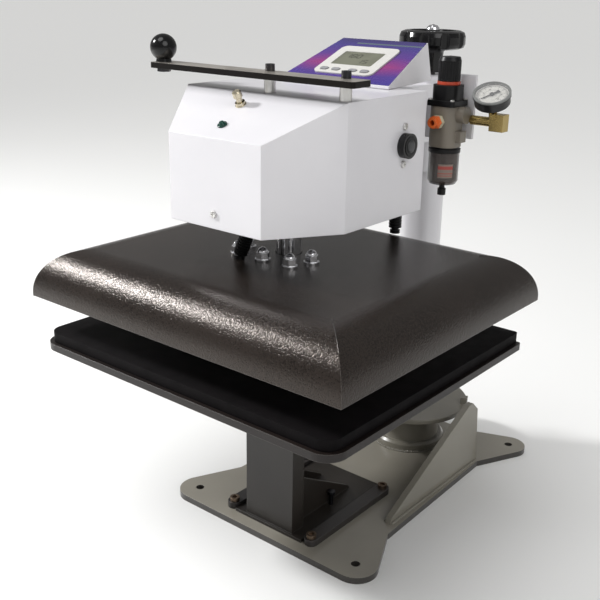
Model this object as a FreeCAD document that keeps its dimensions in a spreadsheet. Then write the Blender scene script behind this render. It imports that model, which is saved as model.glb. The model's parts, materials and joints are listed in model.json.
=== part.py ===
import FreeCAD, Part

import math
import os

# A pneumatic swing-away heat press. Millimetres, +Z up, +X to the operator's right, front faces -Y.
# The origin is the centre of the base plate's bolt pattern, on the plate's underside.

V = FreeCAD.Vector
doc = FreeCAD.newDocument("heat_press")
sheet = doc.addObject("Spreadsheet::Sheet", "dims")

DIMENSIONS = {
    # base
    "base_thick": 8, "bolt_x": 124, "bolt_y": 184, "bolt_hole": 5.25,
    "front_lobe": 26, "rear_lobe": 23, "gusset_thick": 8, "gusset_out": 110,
    # swing bearing and column
    "swing_y": 113, "drum_out": 42, "drum_foot": 50, "drum_top": 64,
    "turntable_out": 80, "turntable_low": 66, "turntable_thick": 6,
    "column_out": 27, "column_wall": 5, "column_top": 492,
    # lower table
    "table_wide": 412, "table_deep": 356, "table_mid": -167.5, "table_low": 232,
    "lip_thick": 8, "lip_out": 5, "pad_thick": 13, "table_corner": 22,
    "post_wide": 72, "post_front": -191, "runner_x": 61, "runner_wide": 17,
    "runner_thick": 8, "runner_front": -194, "runner_back": -32,
    # upper platen
    "platen_wide": 430, "platen_deep": 368, "platen_mid": -162, "platen_low": 291,
    "platen_tall": 53, "platen_roll": 50, "platen_sheet": 2,
    "heater_wide": 406, "heater_deep": 356, "heater_low": 290, "heater_thick": 20,
    "ram_y": -160, "ram_out": 14.3,
    # head
    "head_low": 393, "head_top": 520, "head_sheet": 1.5, "head_front": -275.4,
    "head_shoulder": -203.3, "head_back": -65.8, "head_nose": 62, "head_side": 107.4,
    "head_chin": 483,
    # console wedge
    "console_front": -89, "console_crest": 7.6, "console_tail": 24,
    "console_low": 520.5, "console_lip": 523.5, "console_top": 562.6,
    "console_wide": 74.4, "console_narrow": 59,
    # handle
    "bar_low": 535, "bar_thick": 6, "bar_wide": 30, "bar_y": -204,
    "bar_left": -151, "bar_right": 123, "ball_out": 14.4, "ball_x": -144,
    # hand wheel
    "wheel_out": 41, "wheel_low": 549, "wheel_thick": 22,
    # air preparation unit
    "air_x": 109, "air_y": -26, "gauge_x": 162, "gauge_y": -28, "gauge_z": 520,
    "gauge_out": 19.8,
    # palm buttons
    "palm_y": -105, "palm_z": 468,
}


def fill_sheet():
    for row, (alias, value) in enumerate(DIMENSIONS.items(), start=1):
        sheet.set(f"A{row}", alias)
        sheet.set(f"B{row}", str(value))
        sheet.setAlias(f"B{row}", alias)
    doc.recompute()


def dim(alias):
    return float(sheet.get(alias))


def bind(obj, prop, value):
    """Set a property to a number, or tie it to the sheet when the value is an expression."""
    if isinstance(value, str):
        obj.setExpression(prop, value)
    else:
        obj.setExpression(prop, repr(float(value)))


def place(obj, x=0, y=0, z=0, axis=V(0, 0, 1), turn=0):
    obj.Placement = FreeCAD.Placement(V(0, 0, 0), FreeCAD.Rotation(axis, turn))
    for letter, value in zip("xyz", (x, y, z)):
        bind(obj, f".Placement.Base.{letter}", value)
    return obj


# ---- Part primitives -------------------------------------------------------------------------

def block(name, wide, deep, tall, x, y, low):
    """A box centred on x, y with its underside at low."""
    obj = doc.addObject("Part::Box", name)
    bind(obj, "Length", wide)
    bind(obj, "Width", deep)
    bind(obj, "Height", tall)
    return place(obj, f"({x}) - ({wide}) / 2", f"({y}) - ({deep}) / 2", low)


UP = (V(0, 0, 1), 0)
ALONG_X = (V(0, 1, 0), 90)
ALONG_Y = (V(1, 0, 0), -90)
AGAINST_Y = (V(1, 0, 0), 90)


def rod(name, radius, length, x, y, z, way=UP):
    obj = doc.addObject("Part::Cylinder", name)
    bind(obj, "Radius", radius)
    bind(obj, "Height", length)
    return place(obj, x, y, z, *way)


def cone(name, low_radius, high_radius, length, x, y, z, way=UP):
    obj = doc.addObject("Part::Cone", name)
    bind(obj, "Radius1", low_radius)
    bind(obj, "Radius2", high_radius)
    bind(obj, "Height", length)
    return place(obj, x, y, z, *way)


def ball(name, radius, x, y, z):
    obj = doc.addObject("Part::Sphere", name)
    bind(obj, "Radius", radius)
    return place(obj, x, y, z)


def hexagon(name, across_flats, tall, x, y, z, way=UP):
    obj = doc.addObject("Part::Prism", name)
    obj.Polygon = 6
    bind(obj, "Circumradius", across_flats / math.sqrt(3))
    bind(obj, "Height", tall)
    return place(obj, x, y, z, *way)


def fuse(label, pieces):
    obj = doc.addObject("Part::MultiFuse", label)
    obj.Shapes = pieces
    obj.Refine = True
    return obj


def cut(label, base, tools):
    tool = tools[0] if len(tools) == 1 else fuse(label + "_tools", tools)
    obj = doc.addObject("Part::Cut", label)
    obj.Base = base
    obj.Tool = tool
    return obj


def common(label, first, second):
    obj = doc.addObject("Part::MultiCommon", label)
    obj.Shapes = [first, second]
    return obj


def group(label, pieces):
    """Identical loose pieces kept side by side as one node."""
    obj = doc.addObject("Part::Compound", label)
    obj.Links = pieces
    return obj


def rounded(label, base, radius, keep):
    """Fillet every edge of base that keep(edge) accepts."""
    doc.recompute()
    obj = doc.addObject("Part::Fillet", label)
    obj.Base = base
    picked = [n for n, edge in enumerate(base.Shape.Edges, start=1) if keep(edge)]
    obj.Edges = [(n, radius, radius) for n in picked]
    return obj


# ---- PartDesign helpers ----------------------------------------------------------------------

def new_body(label):
    body = doc.addObject("PartDesign::Body", label)
    body.Label = label
    return body


def origin_plane(body, role):
    return next(item for item in body.Origin.OriginFeatures if item.Role == role)


def new_sketch(body, role, name, offset=0):
    sketch = body.newObject("Sketcher::SketchObject", name)
    sketch.AttachmentSupport = (origin_plane(body, role), [""])
    sketch.MapMode = "FlatFace"
    bind(sketch, ".AttachmentOffset.Base.z", offset)
    return sketch


def add_loop(sketch, points):
    """A closed run of straight lines through the points."""
    for start, end in zip(points, points[1:] + points[:1]):
        sketch.addGeometry(Part.LineSegment(V(*start, 0), V(*end, 0)), False)


def add_circle(sketch, x, y, radius):
    sketch.addGeometry(Part.Circle(V(x, y, 0), V(0, 0, 1), radius), False)


def add_rounded_box(sketch, low, high, radii):
    """A box with its own radius at each corner: front left, front right, back right, back left."""
    corners = [(low[0], low[1]), (high[0], low[1]), (high[0], high[1]), (low[0], high[1])]
    inward = [(1, 1), (-1, 1), (-1, -1), (1, -1)]
    ends = []
    for (x, y), (ix, iy), radius, turn in zip(corners, inward, radii, range(4)):
        start = math.pi + turn * math.pi / 2
        centre = V(x + ix * radius, y + iy * radius, 0)
        circle = Part.Circle(centre, V(0, 0, 1), radius)
        sketch.addGeometry(Part.ArcOfCircle(circle, start, start + math.pi / 2), False)
        ends.append([centre + V(math.cos(a), math.sin(a), 0) * radius
                     for a in (start, start + math.pi / 2)])
    for (_, leave), (arrive, _) in zip(ends, ends[1:] + ends[:1]):
        sketch.addGeometry(Part.LineSegment(leave, arrive), False)


def pad(body, sketch, length, both_ways=False):
    obj = body.newObject("PartDesign::Pad", sketch.Name + "_pad")
    obj.Profile = sketch
    bind(obj, "Length", length)
    obj.Midplane = both_ways
    return obj


def pocket(body, sketch, length, both_ways=False, flip=False):
    obj = body.newObject("PartDesign::Pocket", sketch.Name + "_pocket")
    obj.Profile = sketch
    bind(obj, "Length", length)
    obj.Midplane = both_ways
    obj.Reversed = flip
    return obj


def turned(label, points, x, y, z=0):
    """A body of revolution: points are (radius, height), turned about its own upright axis."""
    body = new_body(label)
    sketch = new_sketch(body, "XZ_Plane", label + "_half")
    add_loop(sketch, points)
    spin = body.newObject("PartDesign::Revolution", label + "_turn")
    spin.Profile = sketch
    spin.ReferenceAxis = (sketch, ["V_Axis"])
    spin.Angle = 360
    place(body, x, y, z)
    return body


def tangent_point(centre, radius, point, side):
    """Where the line from point touches the circle, on the given side (+1 left, -1 right)."""
    dx = point[0] - centre[0]
    dy = point[1] - centre[1]
    turn = math.atan2(dy, dx) + side * math.acos(radius / math.hypot(dx, dy))
    return (centre[0] + radius * math.cos(turn), centre[1] + radius * math.sin(turn))


# ---- base ------------------------------------------------------------------------------------

def make_base_plate():
    bx, by = dim("bolt_x"), dim("bolt_y")
    front, rear = dim("front_lobe"), dim("rear_lobe")
    front_waist = (119, -112)
    rear_waist = (114, 112)
    inner_rear = (58, 184)
    right = [
        (bx, -by - front),
        tangent_point((bx, -by), front, front_waist, -1),
        front_waist,
        rear_waist,
        tangent_point((bx, by), rear, rear_waist, 1),
        tangent_point((bx, by), rear, inner_rear, -1),
        inner_rear,
    ]
    left = [(-x, y) for x, y in reversed(right)]
    body = new_body("base_plate")
    outline = new_sketch(body, "XY_Plane", "base_outline")
    add_loop(outline, right + left)
    pad(body, outline, "dims.base_thick")
    for name, y, radius in (("front_lobes", -by, front), ("rear_lobes", by, rear)):
        lobes = new_sketch(body, "XY_Plane", name)
        add_circle(lobes, bx, y, radius)
        add_circle(lobes, -bx, y, radius)
        pad(body, lobes, "dims.base_thick")
    holes = new_sketch(body, "XY_Plane", "bolt_holes", "dims.base_thick")
    for x in (-bx, bx):
        for y in (-by, by):
            add_circle(holes, x, y, dim("bolt_hole"))
    pocket(body, holes, "dims.base_thick")
    return body


def make_gusset(side):
    label = "gusset_right" if side > 0 else "gusset_left"
    body = new_body(label)
    outline = new_sketch(body, "YZ_Plane", label + "_outline")
    low = dim("base_thick")
    add_loop(outline, [(-94, low), (-92, low + 7), (84, 101), (94, 101), (108, 88), (116, low)])
    pad(body, outline, "dims.gusset_thick")
    inner = "dims.gusset_out - dims.gusset_thick" if side > 0 else "-dims.gusset_out"
    place(body, inner, 0, 0)
    return body


def make_bearing_pedestal():
    """The fixed drum that holds the column's bushes, with a foot flange and a thrust flange."""
    drum, foot, top = dim("drum_out"), dim("drum_foot"), dim("drum_top")
    low, bore, collar = dim("base_thick"), 32, 62
    profile = [
        (bore, low), (foot, low), (foot, low + 9), (foot - 3, low + 12), (drum, low + 12),
        (drum, top - 10), (collar, top - 7), (collar, top), (bore, top),
    ]
    return turned("bearing_pedestal", profile, 0, "dims.swing_y")


def make_bearing_rings():
    """Two bronze bushes in the drum and the thrust ring that carries the turntable."""
    inner, outer = dim("column_out") + 0.08, 31.95
    bush = [(inner, 0), (outer, 0), (outer, 16), (inner, 16)]
    pieces = []
    for name, z in (("low_bush", 20), ("high_bush", 46)):
        pieces.append(turned(name, bush, 0, "dims.swing_y", z))
    ring = [(38, 0), (58, 0), (58, 1.9), (38, 1.9)]
    pieces.append(turned("thrust_ring", ring, 0, "dims.swing_y", "dims.drum_top + 0.05"))
    return group("bearing_rings", pieces)


def make_runners():
    """The two rounded guide bars that hold the table foot down."""
    pieces = []
    half = dim("runner_wide") / 2
    front, back = dim("runner_front") + half, dim("runner_back") - half
    for name, side in (("runner_right", 1), ("runner_left", -1)):
        x = side * dim("runner_x")
        body = new_body(name)
        bar = new_sketch(body, "XY_Plane", name + "_bar")
        add_loop(bar, [(x - half, front), (x + half, front), (x + half, back), (x - half, back)])
        pad(body, bar, "dims.runner_thick")
        ends = new_sketch(body, "XY_Plane", name + "_ends")
        add_circle(ends, x, front, half)
        pad(body, ends, "dims.runner_thick")
        far_end = new_sketch(body, "XY_Plane", name + "_far_end")
        add_circle(far_end, x, back, half)
        pad(body, far_end, "dims.runner_thick")
        pieces.append(place(body, 0, 0, "dims.base_thick"))
    return group("table_runners", pieces)


def make_runner_bolts():
    low = "dims.base_thick + dims.runner_thick"
    half = dim("runner_wide") / 2
    pieces = []
    for n, side in enumerate((-1, 1)):
        for end, y in enumerate((dim("runner_front") + half, dim("runner_back") - half)):
            x = side * dim("runner_x")
            head = rod(f"runner_bolt_{n}{end}", 6, 4.5, x, y, low)
            socket = hexagon(f"runner_socket_{n}{end}", 6, 3, x, y, low + " + 2")
            pieces.append(cut(f"runner_screw_{n}{end}", head, [socket]))
    return group("runner_bolts", pieces)


# ---- lower table -----------------------------------------------------------------------------

def table_slab(name, inset, low, tall):
    """A slab with broad front corners and tight rear ones."""
    half, front = dim("table_wide") / 2 - inset, dim("table_mid") - dim("table_deep") / 2 + inset
    back = dim("table_mid") + dim("table_deep") / 2
    broad, tight = dim("table_corner") - inset, 4
    body = new_body(name)
    plan = new_sketch(body, "XY_Plane", name + "_plan")
    add_rounded_box(plan, (-half, front), (half, back), (broad, broad, tight, tight))
    pad(body, plan, tall)
    return place(body, 0, 0, low)


def make_table_plate():
    return table_slab("table_plate", 0, "dims.table_low", "dims.lip_thick")


def make_table_pad():
    return table_slab("table_pad", dim("lip_out"), "dims.table_low + dims.lip_thick",
                      "dims.pad_thick")


def make_table_pedestal():
    """Floor plate between the guide bars, front plate, side webs and head flange, all welded."""
    floor, front = dim("base_thick") + 0.05, dim("post_front")
    foot_thick = 4
    sill = floor + foot_thick
    top = dim("table_low")
    tall = top - sill
    half = dim("post_wide") / 2
    foot_wide = 2 * (dim("runner_x") - dim("runner_wide") / 2) - 1
    foot = block("foot_block", foot_wide, 162, foot_thick, 0, -113, floor)
    hole = rod("foot_hole", 3.1, 10, PIN_SPOT[0], PIN_SPOT[1], floor - 1)
    pieces = [cut("foot_plate", foot, [hole])]
    pieces.append(block("post_plate", "dims.post_wide", 6, tall, 0, front + 3, sill))
    for name, side in (("right", 1), ("left", -1)):
        body = new_body("web_" + name)
        web = new_sketch(body, "YZ_Plane", f"web_{name}_outline")
        add_loop(web, [(front + 5, sill - 1), (-62, sill - 1), (-66, sill + 4), (front + 5, 84)])
        pad(body, web, 5)
        pieces.append(place(body, 20 if side > 0 else -25, 0, 0))
        pieces.append(block("edge_" + name, 5, 16, tall, side * (half - 2.5), front + 13, sill))
    pieces.append(block("post_channel", 60, 40, 70, 0, front + 25, top - 70))
    pieces.append(block("post_head", 150, 120, 6, 0, front + 66, top - 6))
    return fuse("table_pedestal", pieces)


PIN_SPOT = (31, -109)


def make_lock_pin():
    z = "dims.base_thick + 0.1"
    shank = rod("pin_shank", 3, 18, *PIN_SPOT, z)
    head = rod("pin_head", 5, 4, *PIN_SPOT, "dims.base_thick + 18.1")
    return fuse("lock_pin", [shank, head])


def make_catch_rod():
    """A rod lying back from the post, on a barrel behind the front plate, with a ball end."""
    pivot_y = dim("post_front") + 10
    barrel_wide, reach = 9, 31.5
    x, z = 22, 92
    barrel = rod("catch_barrel", 3.2, barrel_wide, x - barrel_wide / 2, pivot_y, z, ALONG_X)
    stem = rod("catch_stem", 2.5, reach, x, pivot_y, z, ALONG_Y)
    end = ball("catch_end", 3.6, x, pivot_y + reach, z)
    return fuse("catch_rod", [barrel, stem, end])


# ---- turning column --------------------------------------------------------------------------

def make_turntable():
    """The disc under the column, its weld hub and the lug that meets the swing stop."""
    outer, inner = dim("turntable_out"), dim("column_out")
    tall = dim("turntable_thick")
    profile = [
        (inner, 0), (outer, 0), (outer, tall - 1), (outer - 1, tall),
        (inner + 5, tall), (inner + 3, tall + 6), (inner, tall + 6),
    ]
    disc = turned("turntable_disc", profile, 0, "dims.swing_y", "dims.turntable_low + 0.05")
    lug = doc.addObject("Part::Box", "stop_lug")
    lug.Length, lug.Width, lug.Height = 9, 10, 9
    turn = FreeCAD.Rotation(V(0, 0, 1), 22)
    corner = turn.multVec(V(outer - 8, -5, 0)) + V(0, dim("swing_y"), dim("turntable_low") + tall)
    lug.Placement = FreeCAD.Placement(corner, turn)
    return fuse("turntable", [disc, lug])


def make_swing_column():
    outer = dim("column_out")
    inner = outer - dim("column_wall")
    low, top = 22, dim("column_top")
    profile = [(inner, low), (outer, low), (outer, top), (6.3, top), (6.3, top - 30),
               (inner, top - 30)]
    return turned("swing_column", profile, 0, "dims.swing_y")


# ---- head: arm, ram and cover ----------------------------------------------------------------

def make_arm():
    """Sleeve on the column with its cap, and the hollow box beam that carries the air cylinder."""
    inner, outer = dim("column_out") + 0.1, 36
    sleeve = rod("sleeve_out", outer, 118, 0, "dims.swing_y", 400)
    bore = rod("sleeve_bore", inner, 111, 0, "dims.swing_y", 399)
    cap_hole = rod("cap_hole", 6.1, 20, 0, "dims.swing_y", 505)
    arm_sleeve = cut("arm_sleeve", sleeve, [bore, cap_hole])
    beam = block("beam_out", 52, 225, 70, 0, -32.5, 440)
    hollow = block("beam_in", 44, 227, 62, 0, -32.5, 444)
    sleeve_gap = rod("beam_sleeve_gap", outer + 0.02, 130, 0, "dims.swing_y", 395)
    ram_gap = rod("beam_ram_gap", 36.05, 90, 0, "dims.ram_y", 430)
    arm_beam = cut("arm_beam", beam, [hollow, sleeve_gap, ram_gap])
    return [arm_sleeve, arm_beam]


def make_air_cylinder():
    rod_gap, bore, outer = dim("ram_out") + 0.1, 31.5, 36
    low, top = 396, 516
    profile = [
        (rod_gap, low), (outer, low), (outer, top), (0, top), (0, top - 8),
        (bore, top - 8), (bore, low + 10), (rod_gap, low + 10),
    ]
    return turned("air_cylinder", profile, 0, "dims.ram_y")


def head_form(name, inset):
    """The cover's outline, inset by one wall: a plan pad with its sloping face pocketed."""
    low = dim("head_low") - (10 if inset else 0)
    top = dim("head_top") - inset
    front, shoulder = dim("head_front") + inset, dim("head_shoulder") + inset * 0.5
    back = dim("head_back") + (10 if inset else 0)
    nose, side = dim("head_nose") - inset * 0.7, dim("head_side") - inset
    body = new_body(name)
    plan = new_sketch(body, "XY_Plane", name + "_plan", low)
    add_loop(plan, [(-nose, front), (nose, front), (side, shoulder), (side, back),
                    (-side, back), (-side, shoulder)])
    pad(body, plan, top - low)
    chin = dim("head_chin") - inset * 0.6
    slope = new_sketch(body, "YZ_Plane", name + "_slope")
    add_loop(slope, [(front - 1, chin - 0.5), (shoulder, top), (shoulder, top + 5),
                     (front - 1, top + 5)])
    pocket(body, slope, 300, both_ways=True)
    return body


def make_head_cover():
    tools = [head_form("cover_inside", dim("head_sheet"))]
    for name, side in (("palm_hole_right", 1), ("palm_hole_left", -1)):
        x = dim("head_side") - 5 if side > 0 else -dim("head_side") - 5
        tools.append(rod(name, 8.2, 10, x, "dims.palm_y", "dims.palm_z", ALONG_X))
    return cut("head_cover", head_form("cover_outside", 0), tools)


def make_panel_screws():
    """Pan-head screws: one on the nose and a pair at each palm button."""
    nose = rod("nose_screw", 4.5, 3, 0, "dims.head_front", 408, AGAINST_Y)
    pieces = [nose]
    for side in (1, -1):
        for n, dz in enumerate((19.5, -19.5)):
            x = dim("head_side") if side > 0 else -dim("head_side") - 2.5
            z = dim("palm_z") + dz
            pieces.append(rod(f"palm_screw_{side + 1}{n}", 3.3, 2.5, x, "dims.palm_y - 1", z, ALONG_X))
    return group("panel_screws", pieces)


def make_palm_buttons():
    """Guard rings on both cheeks, each with a sprung plunger in it."""
    made = []
    guard = 8
    for name, side in (("right", 1), ("left", -1)):
        def barrel(piece, radius, near, far):
            """A rod along X between two distances outward from the cheek."""
            start = dim("head_side") + near if side > 0 else -dim("head_side") - far
            return rod(f"{piece}_{name}", radius, far - near, start, "dims.palm_y",
                       "dims.palm_z", ALONG_X)
        ring = barrel("guard_ring", 13, 0, guard)
        bore = barrel("guard_bore", 10.2, -1, guard + 1)
        made.append(cut(f"palm_guard_{name}", ring, [bore]))
        head = barrel("plunger_head", 10, 3, guard + 0.6)
        stem = barrel("plunger_stem", 6, -12, 4)
        made.append(fuse(f"palm_button_{name}", [head, stem]))
    return made


# ---- handle ----------------------------------------------------------------------------------

STANDOFF_X = (3, 98)


def make_handle():
    top = "dims.bar_low + dims.bar_thick"
    posts, screws = [], []
    for n, x in enumerate(STANDOFF_X):
        tall = "dims.bar_low - dims.head_top"
        posts.append(rod(f"standoff_{n}", 6, tall, x, "dims.bar_y + 8", "dims.head_top"))
        head = rod(f"bar_screw_{n}", 4.8, 7, x, "dims.bar_y + 8", top)
        socket = hexagon(f"bar_socket_{n}", 5, 6, x, "dims.bar_y + 8", top + " + 3")
        screws.append(cut(f"bar_cap_{n}", head, [socket]))
    length = "dims.bar_right - dims.bar_left"
    middle = "(dims.bar_right + dims.bar_left) / 2"
    raw = block("bar_block", length, "dims.bar_wide", "dims.bar_thick", middle, "dims.bar_y",
                "dims.bar_low")
    upright = lambda edge: abs(edge.tangentAt(edge.FirstParameter).z) > 0.99
    bar = rounded("handle_bar", raw, 4, upright)
    neck = cone("ball_neck", 8.6, 7.8, 5, "dims.ball_x", "dims.bar_y", top)
    knob = ball("ball_round", "dims.ball_out", "dims.ball_x", "dims.bar_y", top + " + 15")
    return [group("handle_posts", posts), bar, group("handle_screws", screws),
            fuse("ball_knob", [neck, knob])]


def make_ball_nut():
    return hexagon("ball_nut", 13, 4.5, "dims.ball_x", "dims.bar_y", "dims.bar_low - 4.5")


# ---- console ---------------------------------------------------------------------------------

def console_slope():
    """Unit vectors up the panel and out of it, with the panel's front edge point."""
    rise = dim("console_top") - dim("console_lip")
    run = dim("console_crest") - dim("console_front")
    along = V(0, run, rise).normalize()
    out = V(0, -rise, run).normalize()
    return along, out


def wedge(name, inset):
    """The tapered wedge of the console: a side profile padded wide, its plan corners pocketed."""
    front, crest = dim("console_front") + inset, dim("console_crest") - inset * 0.5
    tail, low = dim("console_tail") - inset, dim("console_low") - (3 if inset else 0)
    lip, top = dim("console_lip") - inset, dim("console_top") - inset * 1.3
    wide, narrow = dim("console_wide") - inset, dim("console_narrow") - inset
    body = new_body(name)
    side = new_sketch(body, "YZ_Plane", name + "_side")
    add_loop(side, [(front, low), (tail, low), (crest, top), (front, lip)])
    pad(body, side, 2 * wide, both_ways=True)
    plan = new_sketch(body, "XY_Plane", name + "_plan", low)
    taper = (wide - narrow) / (dim("console_crest") - dim("console_front"))
    back = tail + 1
    narrow_back = wide - taper * (back - front)
    for side_sign in (1, -1):
        add_loop(plan, [(side_sign * wide, front), (side_sign * (wide + 5), front),
                        (side_sign * (wide + 5), back), (side_sign * narrow_back, back)])
    pocket(body, plan, 80, flip=True)
    return body


def make_console_box():
    return cut("console_box", wedge("console_outside", 0), [wedge("console_inside", 1.6)])


def on_panel(shape, across, up, lift=0):
    """Move a flat shape drawn at z = 0 on to the sloping panel."""
    along, out = console_slope()
    base = V(0, dim("console_front"), dim("console_lip"))
    spot = base + V(1, 0, 0) * across + along * up + out * lift
    tilt = math.degrees(math.atan2(along.z, along.y))
    shape.Placement = FreeCAD.Placement(spot, FreeCAD.Rotation(V(1, 0, 0), tilt))
    return shape


def panel_length():
    run = dim("console_crest") - dim("console_front")
    rise = dim("console_top") - dim("console_lip")
    return math.hypot(run, rise)


def plate_feature(label, outline, thick, across, up, lift):
    """A flat plate with the given outline, laid on the panel."""
    obj = doc.addObject("Part::Feature", label)
    obj.Shape = Part.Face(outline).extrude(V(0, 0, thick))
    return on_panel(obj, across, up, lift)


def polygon(points):
    corners = [V(x, y, 0) for x, y in points]
    return Part.makePolygon(corners + corners[:1])


def rounded_outline(wide, deep, radius):
    """A rounded rectangle about the origin, as one wire of lines and arcs."""
    x, y = wide / 2, deep / 2
    edges = []
    bend = radius * (1 - math.sqrt(0.5))
    for sx, sy in ((1, 1), (-1, 1), (-1, -1), (1, -1)):
        side_end = V(sx * x, sy * (y - radius), 0)
        top_end = V(sx * (x - radius), sy * y, 0)
        middle = V(sx * (x - bend), sy * (y - bend), 0)
        order = (side_end, middle, top_end) if sx == sy else (top_end, middle, side_end)
        edges.append(Part.Arc(*order).toShape())
    joined = []
    for arc, following in zip(edges, edges[1:] + edges[:1]):
        joined.append(arc)
        start, end = arc.Vertexes[-1].Point, following.Vertexes[0].Point
        if start.distanceToPoint(end) > 0.001:
            joined.append(Part.LineSegment(start, end).toShape())
    return Part.Wire(joined)


PANEL_THICK = 0.5
BEZEL_THICK = 1.6
BEZEL_SPOT = (0, 47.7)
WINDOW_SPOT = (-0.5, 51.3)
WINDOW_SIZE = (55, 32)
KEY_ROW = 22.8
KEY_ACROSS = (-27.5, -11.5, 11.5, 27.5)
KEY_SIZE = (10.5, 5.6)


def make_console_face():
    """The printed overlay, the raised bezel, the display window and four sprung keys."""
    length = panel_length()
    wide, narrow = dim("console_wide") - 1, dim("console_narrow") - 1
    overlay_edge = polygon([(-wide, 1), (wide, 1), (narrow, length - 1), (-narrow, length - 1)])
    overlay = plate_feature("console_panel", overlay_edge, PANEL_THICK, 0, 0, 0.02)
    seat = PANEL_THICK + 0.04
    raw = plate_feature("bezel_block", rounded_outline(80, 66, 8), BEZEL_THICK, *BEZEL_SPOT, seat)
    opening = rounded_outline(WINDOW_SIZE[0] + 0.4, WINDOW_SIZE[1] + 0.4, 2)
    holes = [plate_feature("bezel_window", opening, 4, *WINDOW_SPOT, 0)]
    keys = []
    for n, across in enumerate(KEY_ACROSS, start=1):
        slot = rounded_outline(KEY_SIZE[0] + 0.8, KEY_SIZE[1] + 0.8, 3.1)
        holes.append(plate_feature(f"key_slot_{n}", slot, 4, across, KEY_ROW, 0))
        cap = rounded_outline(*KEY_SIZE, 2.7)
        keys.append(plate_feature(f"console_key_{n}", cap, 1.4, across, KEY_ROW, seat + 1.2))
    bezel = cut("display_bezel", raw, holes)
    glass = plate_feature("display_window", rounded_outline(*WINDOW_SIZE, 1.8), 1.1,
                          *WINDOW_SPOT, seat)
    return [overlay, bezel, glass] + keys


def make_nose_controls():
    """A status lamp and a small turned metal knob on the cover's sloping face."""
    rise = dim("head_top") - dim("head_chin")
    run = dim("head_shoulder") - dim("head_front")
    out = V(0, -rise, run).normalize()
    turn = FreeCAD.Rotation(V(0, 0, 1), out)

    def stand(name, radii, across, share, gap=0.02):
        base = V(across, dim("head_front") + run * share, dim("head_chin") + rise * share)
        solids = []
        lift = gap
        for low_r, high_r, tall in radii:
            if low_r == high_r:
                piece = Part.makeCylinder(low_r, tall, V(0, 0, lift))
            else:
                piece = Part.makeCone(low_r, high_r, tall, V(0, 0, lift))
            solids.append(piece)
            lift += tall
        shape = solids[0] if len(solids) == 1 else solids[0].multiFuse(solids[1:])
        obj = doc.addObject("Part::Feature", name)
        obj.Shape = shape.removeSplitter()
        obj.Placement = FreeCAD.Placement(base, turn)
        return obj

    lamp = stand("status_lamp", [(5, 5, 1.5), (3.6, 2.4, 2.5)], -5, 0.26)
    bush = stand("knob_bush", [(5.8, 5.8, 1.0), (5.2, 5.2, 2.6)], -10, 0.70)
    knob = stand("mode_knob", [(3.2, 3.2, 4.5), (3.2, 4.7, 1), (4.7, 4.7, 5.5), (4.7, 3.8, 1)],
                 -10, 0.70, gap=3.7)
    return [lamp, bush, knob]


# ---- hand wheel ------------------------------------------------------------------------------

def make_hand_wheel():
    """Wheel with a deep rolled rim round a sunk web, on a tapered hub; screw and dome nut."""
    outer, thick = dim("wheel_out"), dim("wheel_thick")
    seat = thick - 3
    profile = [
        (6.05, -28), (14, -28), (15, -4), (18, 0), (outer - 7, 0), (outer - 2, 2), (outer, 6),
        (outer, thick - 7), (outer - 2, thick - 2), (outer - 7, thick), (outer - 12, thick),
        (outer - 16, thick - 6), (12, thick - 6), (12, seat), (6.05, seat),
    ]
    rim = turned("wheel_rim", profile, 0, "dims.swing_y", "dims.wheel_low")
    grips = []
    grip_count, grip_radius, grip_out = 10, 9, outer + 6
    for n in range(grip_count):
        angle = 2 * math.pi * n / grip_count
        spot = (grip_out * math.cos(angle), dim("swing_y") + grip_out * math.sin(angle))
        grips.append(rod(f"grip_{n}", grip_radius, thick + 2, *spot, "dims.wheel_low - 1"))
    wheel = cut("hand_wheel", rim, grips)
    top = dim("wheel_low") + seat
    screw = turned("adjust_screw", [(0, 474), (6, 474), (6, top), (0, top)], 0, "dims.swing_y")
    dome = [(0, 0.1), (8.5, 0.1), (8.5, 4), (7.4, 6.5), (5, 8.8), (0, 10)]
    nut = turned("wheel_nut", dome, 0, "dims.swing_y", top)
    return [wheel, screw, nut]


# ---- upper platen ----------------------------------------------------------------------------

def rolled_profile(half, low, inset):
    """Points of a low box section whose two upper corners are long quarter rolls."""
    roll = dim("platen_roll") - inset
    top = low + dim("platen_tall") - inset
    side = half - inset
    return side, top, roll


def roll_bar(name, role, half, length, low, inset):
    """A bar with rolled shoulders, padded both ways from the middle plane."""
    side, top, roll = rolled_profile(half, low, inset)
    floor = low - (5 if inset else 0)
    body = new_body(name)
    sketch = new_sketch(body, role, name + "_section")
    shoulder = side - roll
    springing = top - roll
    line = lambda a, b: sketch.addGeometry(Part.LineSegment(V(*a, 0), V(*b, 0)), False)
    line((-side, floor), (side, floor))
    line((side, floor), (side, springing))
    circle = Part.Circle(V(shoulder, springing, 0), V(0, 0, 1), roll)
    sketch.addGeometry(Part.ArcOfCircle(circle, 0, math.pi / 2), False)
    line((shoulder, top), (-shoulder, top))
    circle = Part.Circle(V(-shoulder, springing, 0), V(0, 0, 1), roll)
    sketch.addGeometry(Part.ArcOfCircle(circle, math.pi / 2, math.pi), False)
    line((-side, springing), (-side, floor))
    pad(body, sketch, length, both_ways=True)
    return body


def platen_form(name, inset):
    """Two rolled bars crossed at right angles leave mitred rolls on all four sides."""
    wide, deep = dim("platen_wide") / 2, dim("platen_deep") / 2
    low = dim("platen_low")
    across = roll_bar(name + "_across", "XZ_Plane", wide, 2 * deep, low, inset)
    along = roll_bar(name + "_along", "YZ_Plane", deep, 2 * wide, low, inset)
    return common(name, across, along)


def make_platen_cover():
    form = cut("platen_shell", platen_form("platen_outside", 0),
               [platen_form("platen_inside", dim("platen_sheet"))])
    place(form, 0, "dims.platen_mid", 0)
    holes = [rod("ram_hole", dim("ram_out") + 0.7, 30, 0, "dims.ram_y", 330)]
    return cut("platen_cover", form, holes)


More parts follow.
